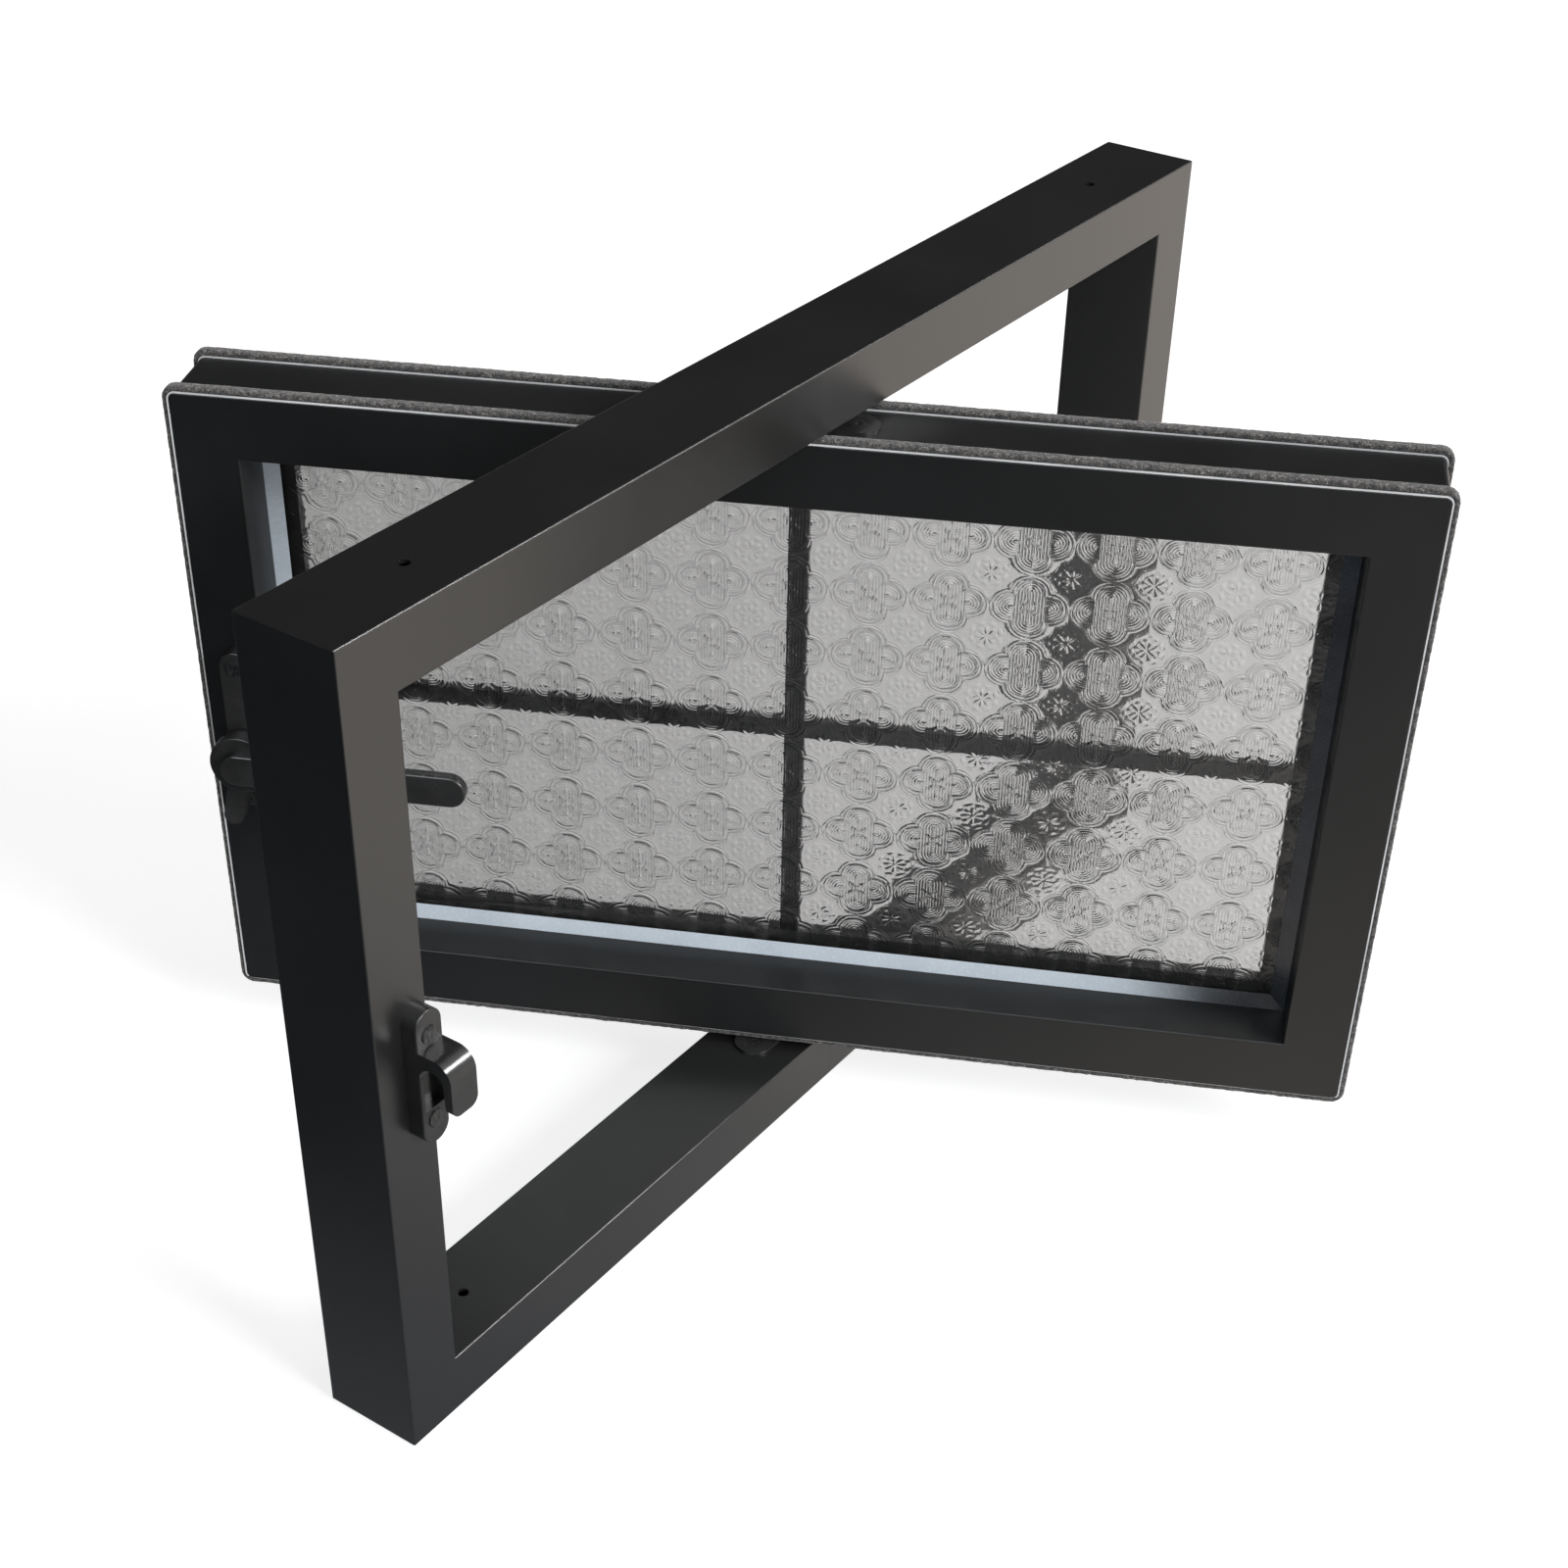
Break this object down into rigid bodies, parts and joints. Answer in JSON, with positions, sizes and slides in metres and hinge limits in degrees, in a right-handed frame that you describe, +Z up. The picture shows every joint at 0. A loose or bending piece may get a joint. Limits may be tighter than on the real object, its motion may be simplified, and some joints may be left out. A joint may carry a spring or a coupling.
{
  "type": "centre pivot window",
  "caption": "Small black metal window with a patterned glass sash on a vertical centre pivot, brush seals, and a lever latch with a hooked keeper.",
  "frame": {"origin": "middle of the underside of the frame's bottom rail", "axes": "+X along the frame to the right seen from outside, +Y inwards, +Z up; the outside face is on -Y"},
  "size_m": [0.8, 0.6712, 0.5],
  "materials": {
    "frame_paint": "black satin powder coat on box section",
    "sash_paint": "black satin powder coat on extruded section",
    "latch_paint": "black semi-gloss coat on a casting",
    "dark_screw": "blackened steel",
    "washer": "plain moulded",
    "gasket": "pale blue-grey sealing strip",
    "brush": "dense grey pile",
    "patterned_glass": "clear cast glass with a raised floral pattern",
    "clear_glass": "clear float glass",
    "spacer": "black spacer and sealant",
    "bar_paint": "black satin bars inside the glass unit"
  },
  "bodies": {
    "frame": {"frame_top_rail": "frame_paint", "frame_bottom_rail": "frame_paint", "frame_left_jamb": "frame_paint", "frame_right_jamb": "frame_paint", "frame_pivot_plate_bottom": "latch_paint", "frame_pivot_plate_top": "latch_paint", "frame_pivot_screws": "dark_screw", "pivot_washers": "washer", "latch_keeper": "latch_paint", "keeper_screws": "dark_screw"},
    "sash": {"sash_top_rail": "sash_paint", "sash_bottom_rail": "sash_paint", "sash_left_stile": "sash_paint", "sash_right_stile": "sash_paint", "glazing_gasket_top": "gasket", "glazing_gasket_bottom": "gasket", "glazing_gasket_left": "gasket", "glazing_gasket_right": "gasket", "glazing_bead_top": "sash_paint", "glazing_bead_bottom": "sash_paint", "glazing_bead_left": "sash_paint", "glazing_bead_right": "sash_paint", "front_glass": "patterned_glass", "back_glass": "clear_glass", "glass_spacer": "spacer", "glazing_bars": "bar_paint", "brush_seal_top": "brush", "brush_seal_bottom": "brush", "brush_seal_left": "brush", "brush_seal_right": "brush", "sash_pivot_plate_bottom": "latch_paint", "sash_pivot_plate_top": "latch_paint", "sash_pivot_screws": "dark_screw", "handle_base": "latch_paint", "handle_screws": "dark_screw"},
    "handle": {"latch_cam": "latch_paint", "latch_lever": "latch_paint"}
  },
  "joints": [
    {"name": "sash_pivot", "type": "hinge", "parent": "frame", "child": "sash", "pos_m": [0, 0, 0.25], "axis": [0, 0, 1], "range_deg": [-26, 64]},
    {"name": "handle_turn", "type": "hinge", "parent": "sash", "child": "handle", "pos_m": [-0.17206, 0.28435, 0.226], "axis": [0.8988, 0.4384, 0], "range_deg": [0, 90]}
  ]
}
